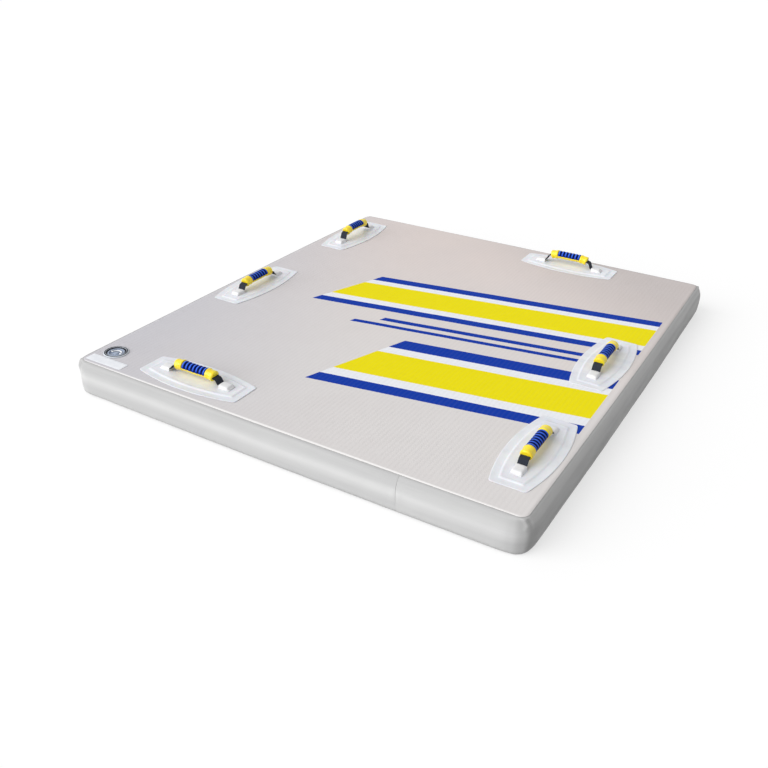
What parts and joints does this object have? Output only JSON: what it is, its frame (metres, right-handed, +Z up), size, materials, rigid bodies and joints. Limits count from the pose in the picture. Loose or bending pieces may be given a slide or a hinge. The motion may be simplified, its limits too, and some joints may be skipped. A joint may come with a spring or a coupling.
{
  "type": "inflatable swim platform",
  "caption": "Rectangular drop-stitch inflatable swim platform: ribbed deck, bulged side band, webbing grab handles with moulded grips on welded patches, and a twist-cap valve.",
  "frame": {"origin": "on the underside, in the middle of the platform", "axes": "+Z up out of the deck, +Y along the platform's longer side, +X across it; the valve is at -X, -Y"},
  "size_m": [1.378, 1.573, 0.1555],
  "materials": {
    "deck": "embossed PVC deck sheet, satin",
    "wall": "smooth coated PVC band, satin",
    "skin": "coated PVC skin, satin",
    "yarn": "polyester spacer yarn and base cloth",
    "label": "bare white printed-film patch",
    "patch": "translucent welded PVC patch, satin",
    "keeper": "white moulded PVC block",
    "webbing": "black woven webbing",
    "grip": "yellow moulded sleeve, satin",
    "insert": "blue ribbed soft moulding",
    "valve": "grey moulded nylon",
    "cap": "blue-grey moulded nylon",
    "seal": "black rubber",
    "spring": "stainless spring wire"
  },
  "bodies": {
    "hull": {"bottom_skin": "skin", "top_skin": "skin", "side_band_left": "wall", "side_band_right": "wall", "seam_tape_front": "skin", "seam_tape_rear": "skin", "deck_pad": "deck", "spacer_yarn_core": "yarn", "white_label_patch": "label", "handle_patch_front": "patch", "keeper_a_front": "keeper", "keeper_b_front": "keeper", "handle_patch_right_front": "patch", "keeper_a_right_front": "keeper", "keeper_b_right_front": "keeper", "handle_patch_right_middle": "patch", "keeper_a_right_middle": "keeper", "keeper_b_right_middle": "keeper", "handle_patch_rear": "patch", "keeper_a_rear": "keeper", "keeper_b_rear": "keeper", "handle_patch_left_middle": "patch", "keeper_a_left_middle": "keeper", "keeper_b_left_middle": "keeper", "handle_patch_left_rear": "patch", "keeper_a_left_rear": "keeper", "keeper_b_left_rear": "keeper", "valve_base": "valve", "valve_ring": "valve", "valve_gasket": "seal", "valve_spring": "spring"},
    "handle_front": {"strap_front": "webbing", "grip_front": "grip", "grip_insert_front": "insert"},
    "handle_right_front": {"strap_right_front": "webbing", "grip_right_front": "grip", "grip_insert_right_front": "insert"},
    "handle_right_middle": {"strap_right_middle": "webbing", "grip_right_middle": "grip", "grip_insert_right_middle": "insert"},
    "handle_rear": {"strap_rear": "webbing", "grip_rear": "grip", "grip_insert_rear": "insert"},
    "handle_left_middle": {"strap_left_middle": "webbing", "grip_left_middle": "grip", "grip_insert_left_middle": "insert"},
    "handle_left_rear": {"strap_left_rear": "webbing", "grip_left_rear": "grip", "grip_insert_left_rear": "insert"},
    "cap_seal": {"valve_cap_seal": "seal"},
    "cap": {"valve_cap": "cap"},
    "bail": {"cap_bail": "valve"},
    "poppet": {"valve_poppet": "cap", "poppet_washer": "seal"}
  },
  "joints": [
    {"name": "handle_front_swing", "type": "hinge", "parent": "hull", "child": "handle_front", "pos_m": [-0.31721, -0.674, 0.1124], "axis": [1, 0, 0], "range_deg": [-25, 25], "stiffness_Nm_per_rad": 0.5},
    {"name": "handle_right_front_swing", "type": "hinge", "parent": "hull", "child": "handle_right_front", "pos_m": [0.5845, -0.51316, 0.1124], "axis": [0, 1, 0], "range_deg": [-25, 25], "stiffness_Nm_per_rad": 0.5},
    {"name": "handle_right_middle_swing", "type": "hinge", "parent": "hull", "child": "handle_right_middle", "pos_m": [0.5785, 0.01982, 0.1124], "axis": [0, 1, 0], "range_deg": [-25, 25], "stiffness_Nm_per_rad": 0.5},
    {"name": "handle_rear_swing", "type": "hinge", "parent": "hull", "child": "handle_rear", "pos_m": [0.22809, 0.682, 0.1124], "axis": [1, 0, 0], "range_deg": [-25, 25], "stiffness_Nm_per_rad": 0.5},
    {"name": "handle_left_middle_swing", "type": "hinge", "parent": "hull", "child": "handle_left_middle", "pos_m": [-0.5885, -0.06939, 0.1124], "axis": [0, 1, 0], "range_deg": [-25, 25], "stiffness_Nm_per_rad": 0.5},
    {"name": "handle_left_rear_swing", "type": "hinge", "parent": "hull", "child": "handle_left_rear", "pos_m": [-0.5805, 0.5246, 0.1124], "axis": [0, 1, 0], "range_deg": [-25, 25], "stiffness_Nm_per_rad": 0.5},
    {"name": "cap_lift", "type": "slide", "parent": "hull", "child": "cap_seal", "axis": [0, 0, 1], "range_m": [0, 0.002]},
    {"name": "cap_turn", "type": "hinge", "parent": "cap_seal", "child": "cap", "pos_m": [-0.609, -0.6815, 0.1034], "axis": [0, 0, 1], "range_deg": [0, 90]},
    {"name": "bail_fold", "type": "hinge", "parent": "cap", "child": "bail", "pos_m": [-0.609, -0.6815, 0.1009], "axis": [1, 0, 0], "range_deg": [0, 95]},
    {"name": "poppet_press", "type": "slide", "parent": "hull", "child": "poppet", "axis": [0, 0, -1], "range_m": [0, 0.006], "stiffness_N_per_m": 400, "springref_m": -0.004, "deforming": ["valve_spring"]}
  ],
  "couplings": [
    {"joint": "cap_lift", "follows": "cap_turn", "m_per_rad": 0.001273}
  ]
}
